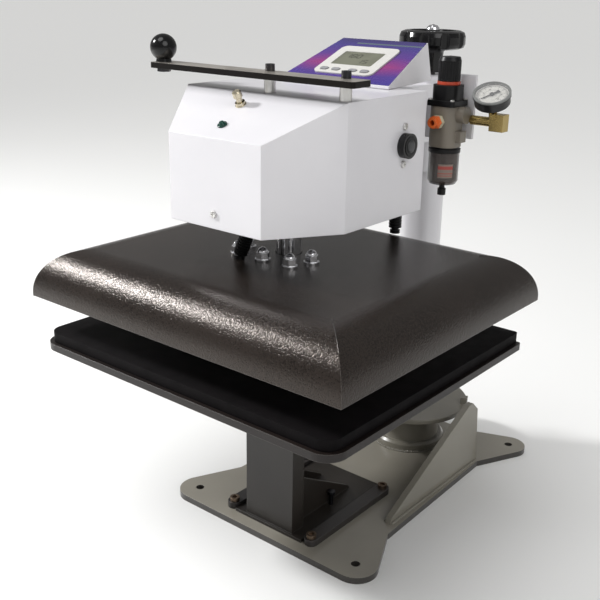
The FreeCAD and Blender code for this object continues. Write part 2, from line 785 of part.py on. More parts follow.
def make_heat_platen():
    slab = block("heater_slab", "dims.heater_wide", "dims.heater_deep", "dims.heater_thick", 0,
                 "dims.platen_mid", "dims.heater_low")
    top = dim("heater_low") + dim("heater_thick")
    lid = dim("platen_low") + dim("platen_tall") - dim("platen_sheet")
    boss = rod("heater_boss", 62, lid - top, 0, "dims.ram_y", top)
    ribs = []
    for n, angle in enumerate((30, 90, 150)):
        rib = doc.addObject("Part::Box", f"heater_rib_{n}")
        rib.Length, rib.Width, rib.Height = 300, 8, 12
        turn = FreeCAD.Rotation(V(0, 0, 1), angle)
        corner = turn.multVec(V(-150, -4, 0)) + V(0, dim("platen_mid"), top)
        rib.Placement = FreeCAD.Placement(corner, turn)
        ribs.append(rib)
    return fuse("heat_platen", [slab, boss] + ribs)


def make_ram():
    foot = dim("platen_low") + dim("platen_tall") - dim("platen_sheet") + 0.05
    rod_out = dim("ram_out")
    profile = [(0, foot), (rod_out, foot), (rod_out, 466), (31.4, 466), (31.4, 484), (0, 484)]
    return turned("ram_rod", profile, 0, "dims.ram_y")


def acorn_nut(name, x, y, z):
    flange = rod(name + "_flange", 8.5, 2.5, x, y, z)
    flats = hexagon(name + "_hex", 13, 7, x, y, f"{z} + 2.5")
    dome = ball(name + "_dome", 5.6, x, y, f"{z} + 9.5")
    return fuse(name, [flange, flats, dome])


NUT_OFFSETS = ((0, -43), (37, -42), (-37, -42), (45, -16), (-45, -16))


def make_platen_nuts():
    top = dim("platen_low") + dim("platen_tall") + 0.02
    pieces = []
    for n, (x, dy) in enumerate(NUT_OFFSETS):
        pieces.append(acorn_nut(f"acorn_{n}", x, dim("ram_y") + dy, top))
    return group("platen_nuts", pieces)


CONDUIT_SPOTS = ((-24, -214, 24), (41, -12, 0))


def make_conduits():
    """Ribbed cable sleeves that rise from the platen into the open underside of the head."""
    top = dim("platen_low") + dim("platen_tall") + 0.02
    points = [(0, 0), (4, 0), (4, 5), (7.6, 5)]
    rib_count, rib_pitch = 8, 3.4
    for n in range(rib_count):
        z = 5 + rib_pitch * n
        points += [(7.6, z + 2), (6.4, z + 2.2), (6.4, z + 3.2), (7.6, z + 3.4)]
    points += [(7.6, 34), (5.5, 34), (5.5, 92), (0, 92)]
    pieces = []
    for n, (x, y, lean) in enumerate(CONDUIT_SPOTS):
        foot = rod(f"conduit_foot_{n}", 6, 4, x, y, top)
        sleeve = turned(f"conduit_sleeve_{n}", points, x, y, top + 2)
        place(sleeve, x, y, top + 2, V(0, 1, 0), lean)
        pieces.append(fuse(f"conduit_{n}", [foot, sleeve]))
    return group("platen_conduits", pieces)


# ---- air preparation -------------------------------------------------------------------------

def rounded_post(name, half, corner, low, tall, x, y):
    """An upright post with a rounded-square section."""
    body = new_body(name)
    plan = new_sketch(body, "XY_Plane", name + "_plan")
    add_rounded_box(plan, (-half, -half), (half, half), (corner,) * 4)
    pad(body, plan, tall)
    return place(body, x, y, low)


def make_regulator():
    """Fluted knob on its coloured ring, black bonnet, ported body and the collar of the bowl."""
    x, y = "dims.air_x", "dims.air_y"
    knob_low = 528
    grip = [(0, 0), (12, 0), (12, 21), (10.5, 25), (0, 26)]
    knob_body = turned("knob_core", grip, x, y, knob_low)
    flutes = []
    for n in range(20):
        angle = 2 * math.pi * n / 20
        fx = dim("air_x") + 12.6 * math.cos(angle)
        fy = dim("air_y") + 12.6 * math.sin(angle)
        flutes.append(rod(f"flute_{n}", 1.1, 19, fx, fy, knob_low + 1))
    knob = cut("regulator_knob", knob_body, flutes)
    ring = turned("regulator_ring", [(8, 0), (12.4, 0), (12.4, 3.4), (8, 3.4)], x, y, 524.2)
    flange = rounded_post("bonnet_flange", 16.5, 3, 502, 6, x, y)
    bonnet_top = rounded_post("bonnet_top", 14.8, 10.5, 507, 17, x, y)
    bonnet = fuse("regulator_bonnet", [flange, bonnet_top])
    body_main = rounded_post("air_block", 16, 12, 458, 44, x, y)
    port = rod("air_port", 9, 12, "dims.air_x + 13", y, 493, ALONG_X)
    step = block("air_step", 10, 12, 12, "dims.air_x + 17", y, 464)
    body = fuse("regulator_body", [body_main, port, step])
    band = [(0, 0), (17.5, 0), (17.5, 4), (15.2, 4), (15.2, 6), (0, 6)]
    return [knob, ring, bonnet, body, turned("bowl_collar", band, x, y, 452)]


def make_bowl():
    """Clear bowl with its dark base cap's outline, the filter inside and the drain knob."""
    x, y = "dims.air_x", "dims.air_y"
    outside = [(16.8, 36), (16.8, 5), (14.5, 1.2), (10, 0), (3.5, 0), (3.5, 1.8), (9.6, 1.8),
               (13.4, 2.6), (15, 5.4), (15, 36)]
    bowl = turned("regulator_bowl", outside, x, y, 415.9)
    core = turned("filter_core", [(0, 0), (5, 0), (6.5, 2), (6.5, 11), (3.5, 12), (3.5, 25),
                                  (0, 25)], x, y, 426.8)
    drain = turned("drain_knob", [(0, 0), (4.6, 0), (4.6, 7), (3, 8), (3, 16), (0, 16)], x, y,
                   403.8)
    return [bowl, core, drain]


def make_air_fittings():
    """Push-in fitting on the unit's front, and the bracket at its back."""
    front = dim("air_y") - 16
    x = "dims.air_x"
    z = 486
    hexes = hexagon("inlet_hex", 13, 6, x, front, z, AGAINST_Y)
    barrel = rod("inlet_barrel", 6.5, 5, x, front - 6, z, AGAINST_Y)
    collar = rod("inlet_collar", 5.5, 3, x, front - 11, z, AGAINST_Y)
    bore = rod("inlet_bore", 3, 14, x, front - 3, z, AGAINST_Y)
    fitting = cut("inlet_fitting", fuse("inlet_turned", [hexes, barrel, collar]), [bore])
    back = "dims.air_y + 18.6"
    plate = block("bracket_plate", 46, 4, 68, 109, back, 466)
    foot = block("bracket_foot", 60, 4, 40, 56.05, back, 462)
    bracket = fuse("air_bracket", [plate, foot])
    return [fitting, bracket]


def gauge_turn():
    face = V(0.13, -0.48, 0.87).normalize()
    return FreeCAD.Rotation(V(0, 0, 1), face), face


def gauge_feature(label, shape, place_it):
    obj = doc.addObject("Part::Feature", label)
    obj.Shape = shape
    obj.Placement = place_it
    return obj


def make_gauge():
    """Dial gauge: cup with a rim, a needle on its spindle, and the brass elbow behind it."""
    turn, face = gauge_turn()
    centre = V(dim("gauge_x"), dim("gauge_y"), dim("gauge_z"))
    place_it = FreeCAD.Placement(centre, turn)
    outer = dim("gauge_out")
    deep = 12
    rim = Part.makeCylinder(outer, 4, V(0, 0, -4))
    cup = Part.makeCylinder(outer - 1, deep - 2, V(0, 0, -deep)).fuse(rim)
    back_cone = Part.makeCone(9, outer - 1, 4, V(0, 0, -deep - 4))
    well = Part.makeCylinder(outer - 2.4, 4, V(0, 0, -3))
    spindle = Part.makeCylinder(0.9, 1, V(0, 0, -3))
    cased = cup.cut(well).fuse([spindle, back_cone])
    case = gauge_feature("gauge_case", cased.removeSplitter(), place_it)
    hub = Part.makeCylinder(2.6, 1.2, V(0, 0, -2.3))
    eye = Part.makeCylinder(1.0, 2, V(0, 0, -2.6))
    low = -2.1
    points = [(-1.6, -9), (1.6, -9), (0.9, 0), (0.3, 13), (-0.3, 13), (-0.9, 0)]
    pointer = Part.Face(Part.makePolygon([V(x, y, low) for x, y in points + points[:1]]))
    hand = hub.fuse(pointer.extrude(V(0, 0, 0.6))).cut(eye)
    rest = turn.multiply(FreeCAD.Rotation(V(0, 0, 1), 149))
    needle = gauge_feature("gauge_needle", hand.removeSplitter(),
                           FreeCAD.Placement(centre, rest))
    back = centre - face * (deep + 4.05)
    stem = Part.makeCylinder(4.5, 16, back, face * -1)
    corner = V(centre.x - 4, back.y - 1, 479)
    elbow = Part.makeBox(16, 13, 18, corner)
    port_x = dim("air_x") + 25.05
    nipple = Part.makeCylinder(5, corner.x + 1 - port_x, V(port_x, dim("air_y") + 10, 488),
                               V(1, 0, 0))
    pipe = gauge_feature("gauge_pipe", stem.fuse([elbow, nipple]).removeSplitter(),
                         FreeCAD.Placement())
    return [case, needle, pipe]


# ---- assembly and export ---------------------------------------------------------------------

def build_parts():
    parts = [make_base_plate(), make_gusset(1), make_gusset(-1), make_bearing_pedestal()]
    parts += [make_bearing_rings(), make_runners(), make_runner_bolts()]
    parts += [make_table_plate(), make_table_pad(), make_table_pedestal()]
    parts += [make_lock_pin(), make_catch_rod(), make_turntable(), make_swing_column()]
    parts += make_arm() + [make_air_cylinder(), make_head_cover(), make_panel_screws()]
    parts += make_palm_buttons() + make_handle() + [make_ball_nut()]
    parts += [make_console_box()] + make_console_face() + make_nose_controls()
    parts += make_hand_wheel() + [make_platen_cover(), make_heat_platen(), make_ram()]
    parts += [make_platen_nuts(), make_conduits()]
    parts += make_regulator() + make_bowl() + make_air_fittings() + make_gauge()
    return parts


def check(parts):
    for obj in doc.Objects:
        if "Invalid" in obj.State or "Error" in obj.State:
            raise RuntimeError(f"{obj.Label} did not build: {obj.State}")
    for obj in parts:
        if obj.Shape.isNull() or not obj.Shape.isValid() or not obj.Shape.Solids:
            raise RuntimeError(f"{obj.Label} has no valid solid")
        print(f"{obj.Label:18s} {len(obj.Shape.Solids)} solid(s) {obj.Shape.Volume / 1000:10.2f} cm3")


def export(parts):
    os.makedirs("parts", exist_ok=True)
    for obj in parts:
        obj.Shape.exportStep(f"parts/{obj.Label}.step")
    print(len(parts), "parts written")


fill_sheet()
all_parts = build_parts()
doc.recompute()
check(all_parts)
export(all_parts)
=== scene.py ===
# %% [markdown]
# # A pneumatic swing-away heat press
# The machine comes in as a finished CAD model in metres, with its front towards -Y. This lesson
# keeps those shapes, adds the small things that CAD leaves out, and gives every surface a finish.

# %% Load the machine
import json
import math
import bpy
from mathutils import Matrix, Vector


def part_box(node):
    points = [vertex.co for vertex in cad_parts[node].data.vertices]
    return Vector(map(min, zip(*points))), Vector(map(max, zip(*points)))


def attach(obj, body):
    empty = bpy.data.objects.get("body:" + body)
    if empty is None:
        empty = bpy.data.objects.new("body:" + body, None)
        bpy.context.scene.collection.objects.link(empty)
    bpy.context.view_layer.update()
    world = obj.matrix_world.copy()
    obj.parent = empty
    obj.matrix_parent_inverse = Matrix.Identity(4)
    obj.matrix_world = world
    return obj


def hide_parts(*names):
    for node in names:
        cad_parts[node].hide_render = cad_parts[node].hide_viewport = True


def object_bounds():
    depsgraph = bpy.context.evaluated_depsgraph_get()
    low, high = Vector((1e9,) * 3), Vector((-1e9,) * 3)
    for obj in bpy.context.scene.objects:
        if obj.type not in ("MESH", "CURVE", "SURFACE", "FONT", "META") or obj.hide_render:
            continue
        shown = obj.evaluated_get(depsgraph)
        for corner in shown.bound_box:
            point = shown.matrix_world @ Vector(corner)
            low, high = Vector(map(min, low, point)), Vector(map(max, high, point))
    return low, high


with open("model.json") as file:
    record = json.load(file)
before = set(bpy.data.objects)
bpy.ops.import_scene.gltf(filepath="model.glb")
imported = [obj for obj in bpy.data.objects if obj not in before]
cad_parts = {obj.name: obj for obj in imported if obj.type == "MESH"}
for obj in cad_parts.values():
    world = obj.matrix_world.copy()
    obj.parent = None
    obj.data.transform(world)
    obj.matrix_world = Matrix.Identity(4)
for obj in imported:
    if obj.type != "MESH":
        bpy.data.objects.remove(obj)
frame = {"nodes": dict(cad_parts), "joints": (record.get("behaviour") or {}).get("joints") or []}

nodes = frame["nodes"]
cad_box = [list(corner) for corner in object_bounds()]

# %% [markdown]
# ## Camera
# A camera looks down its own -Z. It could be aimed with a constraint, but a matrix built from
# three directions (right, up, back) also carries the slight roll of a hand-held view.

# %% Place the camera
VIEW_FROM = (0.614, -0.892, 0.628)
VIEW_TURN = {"yaw": 0.684, "pitch": 0.342, "roll": 0.017}


def look_matrix(yaw, pitch, roll):
    ahead = Vector((-math.sin(yaw) * math.cos(pitch), math.cos(yaw) * math.cos(pitch),
                    -math.sin(pitch)))
    level = Vector((math.cos(yaw), math.sin(yaw), 0))
    upright = level.cross(ahead)
    right = level * math.cos(roll) + upright * math.sin(roll)
    top = upright * math.cos(roll) - level * math.sin(roll)
    return Matrix((right, top, -ahead)).transposed().to_4x4()


bpy.ops.object.camera_add()
camera = bpy.context.object
camera.name = "view_camera"
camera.data.lens = 54.1
camera.data.sensor_width = 36
camera.matrix_world = Matrix.Translation(VIEW_FROM) @ look_matrix(**VIEW_TURN)
bpy.context.scene.camera = camera
print("camera at", tuple(round(v, 3) for v in camera.location))

# %% [markdown]
# ## Studio
# A soft studio is an even pale surround with a few large lamps. Area lights show as soft streaks on
# enamel, but they fall off with distance and leave the floor uneven. Wide suns light machine and
# floor alike, so two of them do most of the work, and one area light high on the left draws the
# streak along the rolled front edge of the platen. The Standard view keeps black enamel black
# beside white enamel.

# %% Light the studio
def soft_lamp(name, place, target, width, power):
    """A square area light that faces its target."""
    bpy.ops.object.light_add(type="AREA", location=place)
    lamp = bpy.context.object
    lamp.name = name
    lamp.data.size = width
    lamp.data.energy = power
    lamp.rotation_euler = (Vector(target) - Vector(place)).to_track_quat("-Z", "Y").to_euler()


def far_lamp(name, turn_x, turn_z, strength, width):
    """A sun as wide as a big soft box, tilted from the zenith and turned about Z."""
    bpy.ops.object.light_add(type="SUN", rotation=(math.radians(turn_x), 0, math.radians(turn_z)))
    lamp = bpy.context.object
    lamp.name = name
    lamp.data.energy = strength
    lamp.data.angle = math.radians(width)


far_lamp("right_sun", 56, 66, 0.85, 40)
far_lamp("high_sun", 22, -12, 1.05, 36)
soft_lamp("roll_lamp", (-1.8, -1.10, 1.68), (0, -0.33, 0.32), 0.24, 52)

world = bpy.data.worlds.new("studio")
world.use_nodes = True
surround = world.node_tree.nodes["Background"]
surround.inputs["Color"].default_value = (1.0, 0.995, 0.985, 1)
surround.inputs["Strength"].default_value = 0.3
bpy.context.scene.world = world
bpy.context.scene.view_settings.view_transform = "Standard"

# %% [markdown]
# ## Shader maths written as sums
# A procedural finish is a sum of patterns. Placing Math nodes by hand hides that, so a small class
# wraps a socket and lets + - * / < > add the nodes. `Finish` holds one material and makes any
# other node through one method: its type, its settings, and what goes into its sockets.

# %% Wrap sockets and materials
class Value:
    """A number or colour that flows through a material."""

    def __init__(self, finish, socket):
        self.finish, self.socket = finish, socket

    def maths(self, sign, other, swapped=False):
        pair = (other, self) if swapped else (self, other)
        return self.finish.node("ShaderNodeMath", {"operation": sign}, dict(enumerate(pair)))

    def __add__(self, other):
        return self.maths("ADD", other)

    def __sub__(self, other):
        return self.maths("SUBTRACT", other)

    def __rsub__(self, other):
        return self.maths("SUBTRACT", other, True)

    def __mul__(self, other):
        return self.maths("MULTIPLY", other)

    def __truediv__(self, other):
        return self.maths("DIVIDE", other)

    def __lt__(self, other):
        return self.maths("LESS_THAN", other)

    def __gt__(self, other):
        return self.maths("GREATER_THAN", other)

    __radd__, __rmul__ = __add__, __mul__

    def between(self, low, high):
        """1 inside the band, 0 outside."""
        return (self > low) * (self < high)

    def spread(self, low, high):
        """0 at low, 1 at high, held at the ends."""
        return self.finish.node("ShaderNodeMapRange", {"interpolation_type": "SMOOTHSTEP"},
                                {"Value": self, "From Min": low, "From Max": high})


class Finish:
    """One material, built round the Principled shader."""

    def __init__(self, name, **fixed):
        self.material = bpy.data.materials.new(name)
        self.material.use_nodes = True
        self.tree = self.material.node_tree
        self.shader = self.tree.nodes["Principled BSDF"]
        for key, amount in fixed.items():
            self.shader.inputs[key.replace("_", " ")].default_value = amount
        self.spot = self.node("ShaderNodeTexCoord", out="Object")

    def node(self, kind, settings=None, sockets=None, out=0):
        made = self.tree.nodes.new(kind)
        for key, setting in (settings or {}).items():
            if key == "stops":
                self.fill_ramp(made.color_ramp, setting)
            else:
                setattr(made, key, setting)
        for key, entry in (sockets or {}).items():
            if isinstance(entry, Value):
                self.tree.links.new(entry.socket, made.inputs[key])
            else:
                made.inputs[key].default_value = entry
        return Value(self, made.outputs[out])

    @staticmethod
    def fill_ramp(ramp, stops):
        while len(ramp.elements) < len(stops):
            ramp.elements.new(1.0)
        for element, (where, colour) in zip(ramp.elements, stops):
            element.position = where
            element.color = (*colour, 1)

    def feed(self, socket, value):
        self.tree.links.new(value.socket, self.shader.inputs[socket])

    def noise(self, scale, detail, spot=None):
        return self.node("ShaderNodeTexNoise", None, {
            "Vector": spot or self.spot, "Scale": scale, "Detail": detail})

    def stretched(self, factors):
        return self.node("ShaderNodeMapping", None, {"Vector": self.spot, "Scale": factors})

    def upward(self):
        """1 on faces that look up, 0 on upright ones."""
        return self.axis("Z", self.node("ShaderNodeTexCoord", out="Normal"))

    def mix(self, mask, under, over):
        """Colour `over` painted on `under` where the mask is 1."""
        paint = [v if isinstance(v, Value) else (*v, 1) for v in (under, over)]
        return self.node("ShaderNodeMix", {"data_type": "RGBA"},
                         {0: mask, 6: paint[0], 7: paint[1]}, out=2)

    def bump(self, height, strength, distance, normal=None):
        sockets = {"Height": height, "Strength": strength, "Distance": distance}
        if normal:
            sockets["Normal"] = normal
        self.feed("Normal", self.node("ShaderNodeBump", None, sockets))

    def axis(self, letter, spot=None):
        return self.node("ShaderNodeSeparateXYZ", None, {0: spot or self.spot},
                         out="XYZ".index(letter))

    def soft_normal(self, radius):
        return self.node("ShaderNodeBevel", {"samples": 4}, {"Radius": radius})

    def edges(self, soft):
        """Bright near folds and corners: the rounded normal leaves the true one there."""
        plain = self.node("ShaderNodeNewGeometry", out="Normal")
        same = self.node("ShaderNodeVectorMath", {"operation": "DOT_PRODUCT"}, {0: soft, 1: plain},
                         out="Value")
        return 1 - same


print("shader helpers ready")

# %% [markdown]
# ## Painted steel
# Enamel is never one flat colour: the coat is thicker in places, dust dulls it, and the corners
# rub through to primer. A broad noise shifts the colour, a fine one makes the orange-peel skin,
# and a Bevel node finds the folded edges, so that they catch light and show their wear. On the
# base plate the upright edge faces carry painted shade, so they read darker than its top.

# %% Make a painted finish
def painted(name, colour, deep, rough, worn, peel=0.15, grain=900, wear=0.4, shade_on_sides=False,
            **fixed):
    finish = Finish(name, **fixed)
    cloud = finish.noise(7, 4)
    speck = finish.noise(grain, 2)
    soft = finish.soft_normal(0.0012)
    base = finish.mix(cloud.spread(0.3, 0.75), colour, deep)
    if shade_on_sides:
        # Painted shade: faces that do not look up get a near-black colour, standing in for the
        # shade on the plate's upright edges.
        up = finish.upward()
        face = (up * up + 0.1 * finish.noise(150, 3)).spread(0.35, 0.6)
        painted_side_shade = finish.mix(finish.noise(400, 3), (0.018, 0.016, 0.014), (0.05, 0.045, 0.04))
        base = finish.mix(face, painted_side_shade, base)
    rub = (finish.edges(soft) * finish.noise(60, 3)).spread(0.02, 0.22) * wear
    finish.feed("Base Color", finish.mix(rub, base, worn))
    finish.feed("Roughness", rough + 0.04 * cloud + 0.08 * speck)
    finish.bump(speck, peel, 0.0006, soft)
    return finish


white_coat = painted("white_powder_coat", (0.76, 0.75, 0.775), (0.70, 0.69, 0.72), 0.24,
                     worn=(0.86, 0.86, 0.86), peel=0.05, wear=0.3,
                     Coat_Weight=0.25, Coat_Roughness=0.12)
grey_enamel = painted("light_grey_enamel", (0.24, 0.225, 0.185), (0.19, 0.178, 0.148), 0.24,
                      worn=(0.38, 0.36, 0.31), peel=0.07, Coat_Weight=0.3, Coat_Roughness=0.12)
plate_enamel = painted("base_plate_enamel", (0.30, 0.28, 0.235), (0.24, 0.225, 0.19), 0.24,
                       worn=(0.38, 0.36, 0.31), peel=0.07, wear=0.5, shade_on_sides=True,
                       Coat_Weight=0.3, Coat_Roughness=0.12)
post_enamel = painted("dark_post_enamel", (0.013, 0.0105, 0.0085), (0.022, 0.018, 0.0145), 0.34,
                      peel=0.2, grain=600, worn=(0.16, 0.15, 0.14))
table_enamel = painted("brown_black_enamel", (0.008, 0.0055, 0.005), (0.014, 0.010, 0.0085), 0.3,
                       peel=0.3, grain=700, worn=(0.24, 0.22, 0.20), wear=0.6,
                       Specular_IOR_Level=0.35)
runner_enamel = painted("runner_black", (0.02, 0.018, 0.018), (0.045, 0.04, 0.038), 0.3,
                        worn=(0.22, 0.2, 0.19))
taupe_cast = painted("taupe_die_cast", (0.17, 0.15, 0.12), (0.21, 0.185, 0.15), 0.36, peel=0.3,
                     grain=700, worn=(0.34, 0.30, 0.26))
print("painted finishes made")

# %% [markdown]
# ## Wrinkle enamel
# The platen's shell wears a black paint that shrinks into tiny glossy worms as it bakes. Under a
# lamp each grain throws its own spark. Voronoi cells bent by noise give the grains, and a low
# roughness on the bumped surface gives the sparks.

# %% Make the wrinkle finish
WRINKLES = 620                                    # grains in a metre


def make_wrinkle():
    finish = Finish("black_wrinkle_enamel", Specular_IOR_Level=0.38,
                    Specular_Tint=(1, 0.88, 0.8, 1))
    warp = finish.node("ShaderNodeTexNoise", None, {
        "Vector": finish.spot, "Scale": WRINKLES * 0.6}, out="Color")
    bent = finish.node("ShaderNodeMix", {"data_type": "VECTOR"},
                       {0: 0.004, 4: finish.spot, 5: warp}, out=1)
    cells = finish.node("ShaderNodeTexVoronoi", {"feature": "SMOOTH_F1"},
                        {"Vector": bent, "Scale": WRINKLES, "Smoothness": 0.6})
    fine = finish.noise(WRINKLES * 2.3, 2)
    cloud = finish.noise(9, 4)
    ridges = cells + 0.4 * fine
    base = finish.mix((0.6 * cells + 0.4 * cloud).spread(0.2, 0.6),
                      (0.002, 0.0015, 0.0014), (0.022, 0.017, 0.0145))
    soft = finish.soft_normal(0.0014)
    rub = (finish.edges(soft) * fine).spread(0.03, 0.2) * 0.5
    finish.feed("Base Color", finish.mix(rub, base, (0.30, 0.28, 0.27)))
    finish.feed("Roughness", 0.12 + 0.1 * fine + 0.05 * cloud)
    finish.bump(ridges, 0.9, 0.00025, soft)
    return finish


platen_enamel = make_wrinkle()
print("wrinkle finish made")

# %% [markdown]
# ## Bare metals
# Turned and drawn metal carries fine lines along the way it was worked. Stretching a noise along
# one axis draws them. Chrome needs almost none: what shows on it is the room and a few smears.

# %% Make the metal finishes
def metal(name, colour, rough, lines=(1, 1, 1), depth=0.1, stain=None, grain=500):
    finish = Finish(name, Metallic=1.0)
    drawn = finish.noise(grain, 3, finish.stretched(lines))
    smear = finish.noise(40, 4)
    finish.feed("Base Color", finish.mix(smear.spread(0.45, 0.8), colour,
                                         stain or [c * 0.72 for c in colour]))
    finish.feed("Roughness", rough + 0.12 * smear + 0.1 * drawn)
    finish.bump(drawn, depth, 0.0003, finish.soft_normal(0.0005))
    return finish


zinc = metal("bright_zinc", (0.74, 0.73, 0.71), 0.26, (1, 1, 0.05), 0.12)
black_oxide = metal("black_oxide", (0.045, 0.045, 0.05), 0.22, depth=0.15,
                    stain=(0.10, 0.095, 0.09))
chrome = metal("polished_chrome", (0.78, 0.78, 0.80), 0.04, (1, 1, 0.02), 0.03)
cast_alu = metal("machined_aluminium", (0.60, 0.60, 0.59), 0.3, (0.04, 1, 1), 0.3)
tube_alu = metal("anodised_aluminium", (0.55, 0.56, 0.57), 0.28, (1, 1, 0.03), 0.15)
bronze = metal("bush_bronze", (0.50, 0.33, 0.15), 0.35)
brass = metal("turned_brass", (0.48, 0.36, 0.14), 0.14, (1, 0.1, 1), 0.05,
              stain=(0.40, 0.29, 0.10))


def make_bar_finish():
    """Blackened steel whose upper faces are painted bright as a painted reflection; its sides stay
    black.
    """
    finish = Finish("bar_steel_painted_sheen", Metallic=0.9)
    drawn = finish.noise(500, 3, finish.stretched((0.03, 1, 1)))
    smear = finish.noise(35, 4)
    # Painted reflection: faces that look up take a bright steel colour, and the sides stay
    # near-black.
    top_sheen_mask = (finish.upward() + 0.2 * smear).spread(0.85, 1.0)
    bright = finish.mix(smear.spread(0.35, 0.75), (0.80, 0.75, 0.68), (0.55, 0.51, 0.46))
    finish.feed("Base Color", finish.mix(top_sheen_mask, (0.018, 0.016, 0.015), bright))
    finish.feed("Roughness", 0.24 + 0.12 * smear + 0.08 * drawn)
    finish.bump(drawn, 0.15, 0.0003, finish.soft_normal(0.0006))
    return finish


bar_steel = make_bar_finish()
nickel = metal("champagne_nickel", (0.62, 0.56, 0.42), 0.14, (1, 1, 0.05), 0.08)
seam_steel = metal("ground_seam", (0.16, 0.15, 0.145), 0.16, depth=0.3, stain=(0.03, 0.028, 0.027),
                   grain=900)
bolt_bronze = metal("bronzed_bolts", (0.20, 0.15, 0.11), 0.28, depth=0.2, stain=(0.08, 0.06, 0.05))
print("metal finishes made")

# %% [markdown]
# ## Moulded plastics and rubber
# A moulding has the skin of its tool: glossy phenolic is nearly smooth with hair scratches, and a
# textured case has a fine even grain. Handling polishes both unevenly, so roughness wanders.

# %% Make the moulded finishes
def moulded(name, colour, rough, grain=1400, depth=0.12, vary=0.15, **fixed):
    finish = Finish(name, **fixed)
    skin = finish.noise(grain, 2)
    touch = finish.noise(55, 3)
    shade = [c * (1 - vary) for c in colour]
    finish.feed("Base Color", finish.mix(touch.spread(0.35, 0.7), colour, shade))
    finish.feed("Roughness", rough + 0.14 * touch)
    finish.bump(skin, depth, 0.0003, finish.soft_normal(0.0006))
    return finish


phenolic = moulded("black_phenolic", (0.003, 0.003, 0.0035), 0.10, depth=0.03,
                   Specular_IOR_Level=0.4)
matt_black = moulded("matt_black_plastic", (0.004, 0.004, 0.0045), 0.3, Specular_IOR_Level=0.28)
key_grey = moulded("key_grey", (0.30, 0.30, 0.31), 0.35)
bezel_white = moulded("bezel_white", (0.66, 0.65, 0.62), 0.3, vary=0.05)
orange_ring = moulded("orange_ring", (0.50, 0.055, 0.02), 0.3)
filter_blue = moulded("filter_blue_grey", (0.20, 0.27, 0.36), 0.35)
lamp_green = moulded("lamp_green", (0.0, 0.05, 0.035), 0.10, depth=0.02)
cap_grey = moulded("button_grey", (0.035, 0.036, 0.038), 0.28)


def make_fitting():
    """Push-in fitting: a cream hexagon next to the body, then an orange barrel."""
    finish = Finish("push_in_fitting")
    low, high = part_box("inlet_fitting")
    along = (finish.axis("Y") - low.y) / (high.y - low.y)
    touch = finish.noise(90, 3)
    cream = finish.mix(touch, (0.55, 0.50, 0.36), (0.42, 0.38, 0.27))
    orange = finish.mix(touch, (0.80, 0.16, 0.03), (0.60, 0.11, 0.02))
    finish.feed("Base Color", finish.mix(along > 0.6, orange, cream))
    finish.feed("Roughness", 0.28 + 0.15 * touch)
    finish.bump(finish.noise(1200, 2), 0.08, 0.0002, finish.soft_normal(0.0005))
    return finish


fitting_orange = make_fitting()
# Dark silicone, its colour darkened further as painted shade for the platen's shadow over the pad.
silicone = moulded("dark_silicone_painted_shade", (0.004, 0.003, 0.0035), 0.6, grain=1000, depth=0.35,
                   vary=0.35, Specular_IOR_Level=0.1)
smoke = moulded("smoky_bowl", (0.075, 0.058, 0.05), 0.06, depth=0.02, Alpha=0.62)
clear = moulded("clear_lens", (0.9, 0.9, 0.9), 0.02, depth=0.01, vary=0.02, Alpha=0.10)
print("moulded finishes made")

# %% [markdown]
# ## Gauge case
# The gauge's pressed rim is grey and the cup behind it black. Both are one CAD node, so the finish
# measures how far a point lies along the dial's axis and changes colour behind the rim.

# %% Paint the gauge case
needle_joint = next(j for j in frame["joints"] if j["name"] == "needle_turn")
gauge_out = Vector(needle_joint["axis"]).normalized()
gauge_mid = Vector(needle_joint["pos_m"])
gauge_turn = gauge_out.to_track_quat("Z", "Y")
SWEEP = math.radians(270)                         # the scale's turn, open at the bottom
WELL = 0.0173                                     # radius of the dial inside the rim
RIM_DEEP = 0.0016                                 # the grey rim ends this far behind the front


def on_gauge(lift):
    return gauge_mid + gauge_out * lift


def make_gauge_case():
    finish = Finish("gauge_case_enamel")
    soft = finish.soft_normal(0.0006)
    along = finish.node("ShaderNodeVectorMath", {"operation": "DOT_PRODUCT"},
                        {0: finish.spot, 1: gauge_out}, out="Value")
    rim = along > gauge_mid.dot(gauge_out) - RIM_DEEP
    touch = finish.noise(90, 3)
    grey = finish.mix(touch, (0.22, 0.225, 0.22), (0.15, 0.155, 0.15))
    rub = (finish.edges(soft) * touch).spread(0.02, 0.2) * 0.5
    black = finish.mix(rub, (0.012, 0.012, 0.013), (0.12, 0.12, 0.12))
    finish.feed("Base Color", finish.mix(rim, black, grey))
    finish.feed("Roughness", 0.24 + 0.14 * touch)
    finish.bump(finish.noise(1500, 2), 0.08, 0.0002, soft)
    return finish


gauge_enamel = make_gauge_case()
print("gauge faces", tuple(round(v, 2) for v in gauge_out))

# %% [markdown]
# ## Printed console film
# The film over the controls is printed violet, runs to blue at its ends and to magenta in the
# middle of its height, with one pale green line near the top. A Mapping node lays its own axes
# along the slope, so that plain x and y on the film drive the colours.

# %% Print the console film
panel_low, panel_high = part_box("console_panel")
slope = math.atan2(panel_high.z - panel_low.z, panel_high.y - panel_low.y)
film_wide = panel_high.x - panel_low.x
film_long = math.hypot(panel_high.z - panel_low.z, panel_high.y - panel_low.y)
LINE_FOOT, LINE_TOP, LINE_LEFT = 0.875, 0.905, -0.03


def film_axes(finish):
    """Across and up the film, in metres from the middle of its front edge."""
    laid = finish.node("ShaderNodeMapping", {"vector_type": "TEXTURE"}, {
        "Vector": finish.spot, "Location": (0, panel_low.y, panel_low.z),
        "Rotation": (slope, 0, 0)})
    return finish.axis("X", laid), finish.axis("Y", laid)


